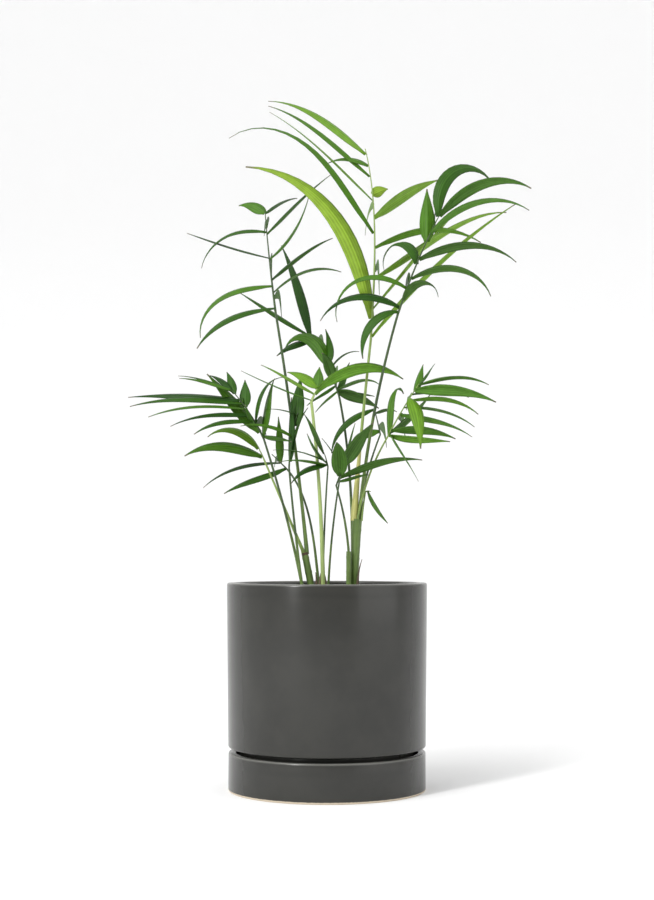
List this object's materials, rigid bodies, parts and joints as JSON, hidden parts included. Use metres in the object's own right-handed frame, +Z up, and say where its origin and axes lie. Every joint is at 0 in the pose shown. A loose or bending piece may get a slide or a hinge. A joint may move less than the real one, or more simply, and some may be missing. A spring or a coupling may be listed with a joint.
{
  "type": "potted parlour palm",
  "caption": "Young clumping palm with arching feather fronds of narrow leaflets, in a dark ceramic cylinder pot with a deep saucer.",
  "frame": {"origin": "centre of the saucer's flat underside", "axes": "+Z up along the pot's axis, -Y towards the viewer of the picture, +X to the viewer's right"},
  "size_m": [0.2718, 0.1577, 0.4849],
  "materials": {
    "pot_glaze": "satin glaze",
    "saucer_glaze": "satin glaze",
    "potting_soil": "matt, crumbly",
    "cane_sheath": "satin, fibrous",
    "stalk_light": "satin",
    "stalk_dark": "satin",
    "stalk_pale": "satin",
    "leaf_light": "satin",
    "leaf_dark": "satin",
    "leaf_pale": "satin"
  },
  "bodies": {
    "root": {"pot": "pot_glaze", "saucer": "saucer_glaze", "soil": "potting_soil", "cane_left": "cane_sheath", "cane_middle": "cane_sheath", "cane_right": "cane_sheath", "stalk_tall": "stalk_light", "frond_tall": "leaf_light", "stalk_right": "stalk_dark", "frond_right": "leaf_dark", "stalk_left": "stalk_dark", "frond_left": "leaf_dark", "stalk_middle": "stalk_dark", "frond_middle": "leaf_dark", "stalk_young": "stalk_pale", "frond_young": "leaf_pale", "stalk_outer_left": "stalk_dark", "frond_outer_left": "leaf_dark", "stalk_low_left": "stalk_light", "frond_low_left": "leaf_light", "stalk_back_left": "stalk_dark", "frond_back_left": "leaf_dark", "stalk_inner_left": "stalk_dark", "frond_inner_left": "leaf_dark", "stalk_front_left": "stalk_dark", "frond_front_left": "leaf_dark", "stalk_front_middle": "stalk_dark", "frond_front_middle": "leaf_dark", "stalk_front_right": "stalk_dark", "frond_front_right": "leaf_dark", "stalk_low_right": "stalk_light", "frond_low_right": "leaf_light", "stalk_inner_right": "stalk_dark", "frond_inner_right": "leaf_dark", "stalk_stray": "stalk_light", "frond_stray": "leaf_light"}
  },
  "joints": []
}
